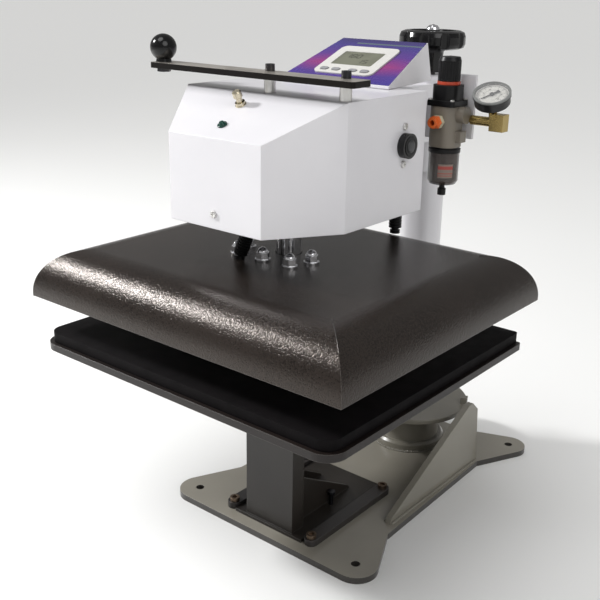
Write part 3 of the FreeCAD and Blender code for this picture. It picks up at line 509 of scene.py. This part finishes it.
def make_film():
    finish = Finish("console_film", Coat_Weight=0.3, Coat_Roughness=0.15)
    across, up = film_axes(finish)
    share = up / film_long
    cloud = finish.noise(30, 2)
    ramp = finish.node("ShaderNodeValToRGB", {"stops": [
        (0.0, (0.035, 0.02, 0.22)), (0.2, (0.06, 0.02, 0.22)), (0.42, (0.26, 0.02, 0.17)),
        (0.64, (0.085, 0.02, 0.22)), (0.86, (0.04, 0.025, 0.20)), (1.0, (0.03, 0.02, 0.13))]},
        {"Fac": share + 0.06 * cloud})
    side = finish.node("ShaderNodeMath", {"operation": "ABSOLUTE"}, {0: across})
    ends = side.spread(film_wide * 0.3, film_wide * 0.55) * 0.35
    blue = finish.mix(ends, ramp, (0.04, 0.03, 0.30))
    line = share.between(LINE_FOOT, LINE_TOP) * (across > LINE_LEFT)
    finish.feed("Base Color", finish.mix(line * 0.6, blue, (0.13, 0.20, 0.15)))
    finish.feed("Roughness", 0.22 + 0.1 * finish.noise(200, 2))
    finish.bump(finish.noise(1500, 2), 0.06, 0.0002)
    return finish


film = make_film()
display = moulded("display_glass", (0.17, 0.175, 0.125), 0.15, depth=0.01,
                  Coat_Weight=0.3)
print("film", round(film_wide, 3), "by", round(film_long, 3))

# %% [markdown]
# ## Give every CAD node its finish
# The nodes already have the right shape, so each keeps its mesh and takes a new material in all
# of its slots. One table keeps the choice in sight.

# %% Assign finishes to the nodes
WEAR = {
    plate_enamel: ["base_plate"],
    grey_enamel: ["gusset_left", "gusset_right", "bearing_pedestal", "turntable"],
    white_coat: ["swing_column", "arm_sleeve", "arm_beam", "head_cover", "console_box",
                 "air_bracket"],
    post_enamel: ["table_pedestal"],
    runner_enamel: ["table_runners"], table_enamel: ["table_plate"],
    platen_enamel: ["platen_cover"], silicone: ["table_pad"],
    zinc: ["panel_screws", "handle_posts"],
    black_oxide: ["lock_pin", "catch_rod", "handle_screws", "ball_nut", "adjust_screw"],
    chrome: ["ram_rod", "platen_nuts", "wheel_nut"], nickel: ["mode_knob", "knob_bush"],
    bolt_bronze: ["runner_bolts"],
    cast_alu: ["heat_platen"], tube_alu: ["air_cylinder"], bronze: ["bearing_rings"],
    brass: ["gauge_pipe"], bar_steel: ["handle_bar"], gauge_enamel: ["gauge_case"],
    taupe_cast: ["regulator_body"],
    phenolic: ["ball_knob", "hand_wheel", "palm_guard_left", "palm_guard_right"],
    matt_black: ["palm_button_left", "palm_button_right", "platen_conduits", "regulator_knob",
                 "regulator_bonnet", "bowl_collar", "drain_knob", "gauge_needle"],
    key_grey: ["console_key_1", "console_key_2", "console_key_3", "console_key_4"],
    bezel_white: ["display_bezel"], display: ["display_window"], film: ["console_panel"],
    orange_ring: ["regulator_ring"], fitting_orange: ["inlet_fitting"],
    filter_blue: ["filter_core"], lamp_green: ["status_lamp"], smoke: ["regulator_bowl"],
}


def dress(obj, finish):
    if not obj.material_slots:
        obj.data.materials.append(finish.material)
    for slot in obj.material_slots:
        slot.material = finish.material


for finish, names in WEAR.items():
    for name in names:
        dress(nodes[name], finish)
bare = set(nodes) - {name for names in WEAR.values() for name in names}
print("nodes without a finish:", sorted(bare))

# %% [markdown]
# ## Small helpers for modelling by hand
# Every new piece starts as a primitive, is shaped in edit mode, and keeps its place in its mesh.
# These helpers do the repeated steps: clear the selection, pick faces by their place, inset and
# lift them, copy a master piece, and settle the result on its body.

# %% Helpers for edit mode
def clear_selection():
    if bpy.context.object and bpy.context.object.mode != "OBJECT":
        bpy.ops.object.mode_set(mode="OBJECT")
    bpy.ops.object.select_all(action="DESELECT")


def keep_place():
    """Moves the selected piece's place, turn and size into its mesh."""
    bpy.ops.object.transform_apply(location=True, rotation=True, scale=True)


def start(add, name, **size):
    """Adds a primitive alone in the selection, with its place in its mesh."""
    clear_selection()
    add(**size)
    piece = bpy.context.object
    piece.name = name
    keep_place()
    return piece


def pick(piece, kind, test):
    """Selects the faces or edges that pass the test, and goes to edit mode."""
    bpy.ops.object.mode_set(mode="EDIT")
    bpy.ops.mesh.select_mode(type=kind)
    bpy.ops.mesh.select_all(action="DESELECT")
    bpy.ops.object.mode_set(mode="OBJECT")
    mesh = piece.data
    for part in (mesh.polygons if kind == "FACE" else mesh.edges):
        part.select = test(part)
    bpy.ops.object.mode_set(mode="EDIT")


def pick_facing(piece, way):
    """Selects the faces that look the given way."""
    pick(piece, "FACE", lambda face: face.normal.dot(way) > 0.9)


def edge_ends(piece, edge):
    return [piece.data.vertices[i].co for i in edge.vertices]


def rises(piece, edge, least):
    """True for an edge that climbs by more than `least`."""
    a, b = edge_ends(piece, edge)
    return abs(a.z - b.z) > least


def raise_steps(steps, way):
    """Insets the selected face and lifts it the given way, once for each step."""
    for thickness, lift in steps:
        bpy.ops.mesh.inset(thickness=thickness)
        bpy.ops.transform.translate(value=way * lift)


def facing(place, way):
    """Turns +Z to the given way, then moves to the place."""
    return Matrix.Translation(place) @ Vector(way).to_track_quat("Z", "Y").to_matrix().to_4x4()


def twin_of(master, matrix):
    """A copy with its own mesh, placed by the matrix."""
    twin = master.copy()
    twin.data = master.data.copy()
    bpy.context.scene.collection.objects.link(twin)
    twin.data.transform(matrix)
    return twin


def use_modifier(piece, kind, **settings):
    """Adds a modifier, sets it and applies it."""
    bpy.context.view_layer.objects.active = piece
    modifier = piece.modifiers.new(kind.lower(), kind)
    for key, setting in settings.items():
        setattr(modifier, key, setting)
    bpy.ops.object.modifier_apply(modifier=modifier.name)


def settle(piece, body, finish, angle=40):
    """Puts the piece's place into its mesh, smooths it, dresses it and rides it on its body."""
    if piece.mode != "OBJECT":
        bpy.ops.object.mode_set(mode="OBJECT")
    clear_selection()
    piece.select_set(True)
    bpy.context.view_layer.objects.active = piece
    keep_place()
    bpy.ops.object.shade_smooth_by_angle(angle=math.radians(angle))
    dress(piece, finish)
    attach(piece, body)
    print(piece.name, len(piece.data.polygons), "faces on", body)


def joined(pieces, name):
    clear_selection()
    for piece in pieces:
        piece.select_set(True)
    bpy.context.view_layer.objects.active = pieces[0]
    bpy.ops.object.join()
    pieces[0].name = name
    return pieces[0]


UP = Vector((0, 0, 1))
print("modelling helpers ready")

# %% [markdown]
# ## Foam pad on the table
# The lower table carries a sheet of silicone foam, whose top crowns towards the middle. A cube is
# scaled to the pad, its upright edges are rounded, and four insets lift the top in steps. A wide
# inset would cross itself at the round corners, so all but the first are hair-thin and the face
# inside them is scaled down.

# %% Model the foam pad
pad_low, pad_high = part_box("table_pad")
pad_size, pad_mid = pad_high - pad_low, (pad_low + pad_high) / 2
CROWN = 0.0014
FRONT_CORNER, BACK_CORNER = 0.017, 0.004
HAIR = 0.0001
pad = start(bpy.ops.mesh.primitive_cube_add, "foam_pad", size=1, location=pad_mid,
            scale=(pad_size.x, pad_size.y, pad_size.z - CROWN))
pad.data.transform(Matrix.Translation((0, 0, -CROWN / 2)))
pick(pad, "EDGE", lambda e: rises(pad, e, 0.005) and edge_ends(pad, e)[0].y < pad_mid.y)
bpy.ops.mesh.bevel(offset=FRONT_CORNER, segments=8)
pick(pad, "EDGE", lambda e: rises(pad, e, 0.005) and edge_ends(pad, e)[0].y > pad_high.y - 0.001)
bpy.ops.mesh.bevel(offset=BACK_CORNER, segments=4)
pick_facing(pad, UP)
raise_steps([(0.003, CROWN * 0.55)], UP)
for share, lift in ((0.93, 0.3), (0.8, 0.15), (0.5, 0)):
    bpy.ops.mesh.inset(thickness=HAIR)
    bpy.ops.transform.resize(value=(share, share, 1), center_override=pad_mid)
    bpy.ops.transform.translate(value=(0, 0, CROWN * lift))
bpy.ops.object.mode_set(mode="OBJECT")
settle(pad, "table", silicone, 60)
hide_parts("table_pad")

# %% [markdown]
# ## Pan-head screws
# Five screws hold the cover and the palm buttons. Each is a short cylinder whose top face is
# inset and lifted into a dome, with a cross cut into it. One is modelled, then copied with its
# own mesh to each spot and turned along the way the screw points.

# %% Model the screws
NOSE_SCREW_HEIGHT = 0.408
GUARD_SCREW_RISE = 0.0195


def screw_master(name, radius, tall):
    screw = start(bpy.ops.mesh.primitive_cylinder_add, name, vertices=32, radius=radius,
                  depth=tall, location=(0, 0, tall / 2))
    pick_facing(screw, UP)
    raise_steps([(radius * 0.22, tall * 0.18), (radius * 0.25, tall * 0.06)], UP)
    bpy.ops.object.mode_set(mode="OBJECT")
    for turn in (0, math.pi / 2):
        arm = start(bpy.ops.mesh.primitive_cube_add, "arm", size=1, location=(0, 0, tall * 1.2),
                    rotation=(0, 0, turn), scale=(radius * 1.25, radius * 0.24, tall * 0.9))
        use_modifier(screw, "BOOLEAN", object=arm, operation="DIFFERENCE", solver="EXACT")
        bpy.data.objects.remove(arm)
    return screw


guard_low, guard_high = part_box("palm_guard_right")
guard_mid = (guard_low + guard_high) / 2
spots = [((0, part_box("head_cover")[0].y, NOSE_SCREW_HEIGHT), (0, -1, 0))]
for side in (1, -1):
    for rise in (GUARD_SCREW_RISE, -GUARD_SCREW_RISE):
        spots.append(((side * guard_low.x, guard_mid.y - 0.001, guard_mid.z + rise), (side, 0, 0)))
master = screw_master("screw_master", 0.0036, 0.002)
screws = joined([twin_of(master, facing(place, way)) for place, way in spots], "pan_head_screws")
bpy.data.objects.remove(master)
settle(screws, "head", zinc)
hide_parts("panel_screws")

# %% [markdown]
# ## Gauge dial
# The dial is a white disc in the case with a ring of black marks. Marks could be tiny meshes, but a
# polar pattern draws them all: the angle picks the stroke and the distance from the middle its
# length.

# %% Draw and model the dial
def make_dial():
    finish = Finish("dial_print", Roughness=0.35)
    local = finish.node("ShaderNodeMapping", {"vector_type": "TEXTURE"}, {
        "Vector": finish.spot, "Location": gauge_mid, "Rotation": gauge_turn.to_euler()})
    x, y = finish.axis("X", local), finish.axis("Y", local)
    angle = finish.node("ShaderNodeMath", {"operation": "ARCTAN2"}, {0: x, 1: -1 * y})
    reach = finish.node("ShaderNodeVectorMath", {"operation": "LENGTH"}, {0: finish.node(
        "ShaderNodeCombineXYZ", None, {0: x, 1: y})}, out="Value")
    turn = angle / SWEEP * -1

    def marks(count, thin, low, high):
        part = finish.node("ShaderNodeMath", {"operation": "FRACT"}, {0: turn * count + 0.5})
        off = finish.node("ShaderNodeMath", {"operation": "ABSOLUTE"}, {0: part - 0.5})
        return (off < thin) * reach.between(low, high)

    scale = (angle * angle) > (math.pi - SWEEP / 2 - 0.03) ** 2
    strokes = marks(10, 0.04, WELL * 0.68, WELL * 0.91) + marks(50, 0.12, WELL * 0.8, WELL * 0.91)
    rings = reach.between(WELL * 0.9, WELL * 0.92) + reach.between(WELL * 0.47, WELL * 0.49)
    ink = strokes * scale + rings * scale
    paper = finish.mix(finish.noise(80, 3).spread(0.3, 0.8), (0.58, 0.57, 0.54),
                       (0.50, 0.49, 0.45))
    finish.feed("Base Color", finish.mix(ink, paper, (0.02, 0.02, 0.02)))
    finish.bump(finish.noise(900, 2), 0.05, 0.0002)
    return finish


dial_print = make_dial()
dial = start(bpy.ops.mesh.primitive_cylinder_add, "dial_plate", vertices=96, radius=WELL,
             depth=0.0003, location=on_gauge(-0.0028), rotation=gauge_turn.to_euler())
pick_facing(dial, gauge_out)
bpy.ops.mesh.inset(thickness=0.0006)
bpy.ops.mesh.inset(thickness=WELL * 0.85)
settle(dial, "head", dial_print)

# %% [markdown]
# ## Dial figures and lens
# The figures are text made into a mesh, set round the dial with the lowest at its left foot. The
# lens is a thin disc whose outer face is inset and lifted three times, so that it domes.

# %% Set the figures and the lens
ink_black = moulded("dial_ink", (0.02, 0.02, 0.02), 0.4)
figures = []
for step in range(0, 11, 2):
    angle = math.radians(225) - SWEEP * step / 10
    spot = gauge_turn @ Vector((math.cos(angle), math.sin(angle), 0)) * WELL * 0.56
    clear_selection()
    bpy.ops.object.text_add(location=on_gauge(-0.00262) + spot, rotation=gauge_turn.to_euler())
    figure = bpy.context.object
    figure.data.body = str(step)
    figure.data.size = 0.0038
    figure.data.extrude = 0.00004
    figure.data.align_x, figure.data.align_y = "CENTER", "CENTER"
    bpy.ops.object.convert(target="MESH")
    figures.append(bpy.context.object)
settle(joined(figures, "dial_figures"), "head", ink_black)

lens = start(bpy.ops.mesh.primitive_cylinder_add, "gauge_lens", vertices=72, radius=WELL - 0.0001,
             depth=0.0004, location=on_gauge(-0.0004), rotation=gauge_turn.to_euler())
pick_facing(lens, gauge_out)
raise_steps([(0.004, 0.00035), (0.005, 0.0002), (0.005, 0.0001)], gauge_out)
settle(lens, "head", clear, 80)

# %% [markdown]
# ## Regulator trim
# Four screws hold the bonnet down, and a small printed label is wrapped round the bowl. The label
# is a slice of an open cylinder, given a little thickness with Solidify.

# %% Add the bonnet screws and the bowl label
bonnet_low, bonnet_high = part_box("regulator_bonnet")
bonnet_mid = (bonnet_low + bonnet_high) / 2
FLANGE_TALL, SCREW_OUT = 0.006, 0.0136
master = screw_master("screw_master", 0.0021, 0.0014)
bonnet_screws = []
for x, y in ((1, 1), (-1, 1), (1, -1), (-1, -1)):
    place = (bonnet_mid.x + x * SCREW_OUT, bonnet_mid.y + y * SCREW_OUT,
             bonnet_low.z + FLANGE_TALL)
    bonnet_screws.append(twin_of(master, facing(place, UP)))
bpy.data.objects.remove(master)
settle(joined(bonnet_screws, "bonnet_screws"), "head", zinc)

bowl_low, bowl_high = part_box("regulator_bowl")
bowl_mid = (bowl_low + bowl_high) / 2
LABEL_FOOT, LABEL_TALL = bowl_low.z + 0.0095, 0.015
label = start(bpy.ops.mesh.primitive_cylinder_add, "bowl_label", vertices=64, radius=0.0170,
              depth=LABEL_TALL, end_fill_type="NOTHING",
              location=(bowl_mid.x, bowl_mid.y, LABEL_FOOT + LABEL_TALL / 2))
label_way = Vector((0.62, -0.78, 0))
pick(label, "FACE", lambda f: f.normal.dot(label_way) < 0.88)
bpy.ops.mesh.delete(type="FACE")
bpy.ops.object.mode_set(mode="OBJECT")
use_modifier(label, "SOLIDIFY", thickness=0.0002, offset=1)


def make_label():
    finish = Finish("label_print", Roughness=0.4)
    height = (finish.axis("Z") - LABEL_FOOT) / LABEL_TALL
    band = height.between(0.62, 0.86) + height.between(0.30, 0.36) + height.between(0.14, 0.18)
    paper = finish.mix(finish.noise(300, 3), (0.24, 0.19, 0.16), (0.20, 0.155, 0.13))
    finish.feed("Base Color", finish.mix(band, paper, (0.34, 0.05, 0.04)))
    finish.bump(finish.noise(1200, 2), 0.1, 0.0002)
    return finish


settle(label, "head", make_label())

# %% [markdown]
# ## Palm button centres
# Each palm button is a black plunger with a grey domed centre. A cylinder's outer face is inset
# and lifted to make the dome, once for each side, because the two plungers move on their own.

# %% Model the plunger centres
for name, side in (("right", 1), ("left", -1)):
    low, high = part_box(f"palm_button_{name}")
    outer = high.x if side > 0 else low.x
    cap = start(bpy.ops.mesh.primitive_cylinder_add, f"palm_{name}_centre", vertices=40,
                radius=0.0066, depth=0.0008, rotation=(0, side * math.pi / 2, 0),
                location=(outer + side * 0.0002, guard_mid.y, guard_mid.z))
    out = Vector((side, 0, 0))
    pick_facing(cap, out)
    raise_steps([(0.001, 0.0005), (0.0014, 0.0003)], out)
    settle(cap, f"palm_{name}", cap_grey, 70)

# %% [markdown]
# ## Display segments
# The display shows two rows of plain figures made of short bars, as such displays do. One bar is
# modelled, bevelled to a lozenge, and copied to the lit places of each figure.

# %% Model the display figures
window_low, window_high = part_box("display_window")
window_mid = (window_low + window_high) / 2
LIT = {"0": "abcdef", "1": "bc", "5": "afgcd", "8": "abcdefg"}
PLACES = {"a": (0, 1, 0), "b": (0.5, 0.5, 1), "c": (0.5, -0.5, 1), "d": (0, -1, 0),
          "e": (-0.5, -0.5, 1), "f": (-0.5, 0.5, 1), "g": (0, 0, 0)}
BAR_LONG, BAR_WIDE, BAR_THICK = 0.0040, 0.0008, 0.00006
FIGURE_WIDE, FIGURE_TALL, FIGURE_STEP = 0.0048, 0.0042, 0.0075
ON_GLASS = 0.00062
ROWS = (("180", -0.017, 0.006), ("15", 0.006, -0.006))
bar = start(bpy.ops.mesh.primitive_cube_add, "segment", size=1,
            scale=(BAR_LONG, BAR_WIDE, BAR_THICK))
pick(bar, "EDGE", lambda e: rises(bar, e, BAR_THICK / 2))
bpy.ops.mesh.bevel(offset=0.00036, segments=1)
bpy.ops.object.mode_set(mode="OBJECT")
on_window = Matrix.Translation(window_mid) @ Matrix.Rotation(slope, 4, "X")
segments = []
for text, left, up in ROWS:
    for n, figure in enumerate(text):
        for lit in LIT[figure]:
            x, y, standing = PLACES[lit]
            spot = Vector((left + FIGURE_STEP * n + x * FIGURE_WIDE, up + y * FIGURE_TALL,
                           ON_GLASS))
            stand = Matrix.Rotation(math.pi / 2 * standing, 4, "Z")
            segments.append(twin_of(bar, on_window @ Matrix.Translation(spot) @ stand))
bpy.data.objects.remove(bar)
settle(joined(segments, "display_figures"), "head", ink_black)

# %% [markdown]
# ## Mitre seams of the platen shell
# The shell's four rolled sides meet in mitres that are welded and ground, which leaves a thin
# bright ridge up each corner. The ridge follows a quarter circle in both directions at once. A
# short edge is extruded step by step along that line, and Skin gives it a round section.

# %% Model the four seams
shell_low, shell_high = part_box("platen_cover")
ROLL = 0.050                                      # radius of the shell's rolled sides
SEAM = 0.0010                                     # radius of the ridge
FOOT_SHARE = 0.12                                 # the upright part of the ridge
STEPS = 18


def seam_point(x_side, y_side, share):
    """A point on the mitre: 0 is its foot, 1 is its end on the flat top."""
    if share < FOOT_SHARE:
        rise, inward = share / FOOT_SHARE, 0
        height = shell_low.z + 0.0006 + (shell_high.z - ROLL - shell_low.z) * rise
    else:
        angle = (share - FOOT_SHARE) / (1 - FOOT_SHARE) * math.pi / 2
        inward = ROLL * (1 - math.cos(angle))
        height = shell_high.z - ROLL + ROLL * math.sin(angle) - SEAM * 0.7
    edge_x = shell_high.x if x_side > 0 else shell_low.x
    edge_y = shell_high.y if y_side > 0 else shell_low.y
    inset = inward + SEAM * 1.05
    return Vector((edge_x - x_side * inset, edge_y - y_side * inset, height))


def seam_ridge(x_side, y_side):
    ridge = start(bpy.ops.mesh.primitive_plane_add, "seam", size=0.001,
                  location=seam_point(x_side, y_side, 0))
    bpy.ops.object.mode_set(mode="EDIT")
    bpy.ops.mesh.select_all(action="SELECT")
    bpy.ops.mesh.merge(type="CENTER")
    bpy.ops.mesh.select_mode(type="VERT")
    for step in range(STEPS):
        a = seam_point(x_side, y_side, step / STEPS)
        b = seam_point(x_side, y_side, (step + 1) / STEPS)
        bpy.ops.mesh.extrude_region_move(TRANSFORM_OT_translate={"value": b - a})
    bpy.ops.object.mode_set(mode="OBJECT")
    skin = ridge.modifiers.new("ridge", "SKIN")
    for point in ridge.data.skin_vertices[0].data:
        point.radius = (SEAM, SEAM)
    bpy.ops.object.modifier_apply(modifier=skin.name)
    return ridge


seams = [seam_ridge(x, y) for x in (-1, 1) for y in (-1, 1)]
settle(joined(seams, "mitre_seams"), "platen", seam_steel, 80)

# %% [markdown]
# ## Weld beads on the base
# The gussets and the bearing drum are welded to the base plate. A weld is a row of overlapping
# ripples, each laid on the last, so one flattened ball with a slanted face is modelled and copied
# along each foot, a little turned and sized by a fixed pattern so that no two neighbours match.

# %% Lay the beads
RIPPLE = 0.0024                                   # radius of a ripple
STEP = 0.0026                                     # from one ripple to the next
BEAD_OUT, BEAD_UP, END_GAP = 0.0008, 0.0006, 0.003
DRUM_FOOT = 0.0506                                # radius of the ring round the drum's foot
bead = start(bpy.ops.mesh.primitive_ico_sphere_add, "ripple", subdivisions=2, radius=RIPPLE)
bpy.ops.object.mode_set(mode="EDIT")
bpy.ops.mesh.select_all(action="SELECT")
bpy.ops.transform.resize(value=(0.75, 1, 0.8))
bpy.ops.mesh.bisect(plane_co=(0, 0, -RIPPLE * 0.3), plane_no=(0, 0, 1), use_fill=True,
                    clear_inner=True)
bpy.ops.object.mode_set(mode="OBJECT")


def lay_beads(points):
    """Ripples from point to point, each facing along the run."""
    ripples = []
    for n, (here, there) in enumerate(zip(points, points[1:])):
        ahead = (there - here).to_track_quat("X", "Z").to_matrix().to_4x4()
        size = 1 + 0.12 * math.sin(n * 2.4)
        ripples.append(twin_of(bead, Matrix.Translation(here) @ ahead @ Matrix.Scale(size, 4)))
    return joined(ripples, "weld_run")


weld_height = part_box("base_plate")[1].z + BEAD_UP
runs = []
for name in ("gusset_right", "gusset_left"):
    low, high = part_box(name)
    count = int((high.y - low.y - 2 * END_GAP) / STEP)
    for x in (low.x - BEAD_OUT, high.x + BEAD_OUT):
        runs.append(lay_beads([Vector((x, low.y + END_GAP + n * STEP, weld_height))
                               for n in range(count + 1)]))
swing_joint = next(j for j in frame["joints"] if j["name"] == "head_swing")
centre = Vector(swing_joint["pos_m"])
turns = int(2 * math.pi * DRUM_FOOT / STEP)
angles = [2 * math.pi * n / turns for n in range(turns + 1)]
runs.append(lay_beads([Vector((centre.x + DRUM_FOOT * math.cos(a),
                               centre.y + DRUM_FOOT * math.sin(a), weld_height))
                       for a in angles]))
bpy.data.objects.remove(bead)
settle(joined(runs, "weld_beads"), "base", grey_enamel, 60)

# %% [markdown]
# ## Floor
# A plain pale floor holds the machine's soft shadow. It is one large plane just under the base
# plate, with the faintest unevenness in its sheen.

# %% Lay the floor
floor = start(bpy.ops.mesh.primitive_plane_add, "studio_floor", size=80,
              location=(0, 0, cad_box[0][2] - 0.0002))
floor_finish = Finish("pale_floor", Base_Color=(0.93, 0.93, 0.92, 1))
floor_finish.feed("Roughness", 0.6 + 0.1 * floor_finish.noise(3, 2))
dress(floor, floor_finish)
print("floor laid at", round(cad_box[0][2], 4))
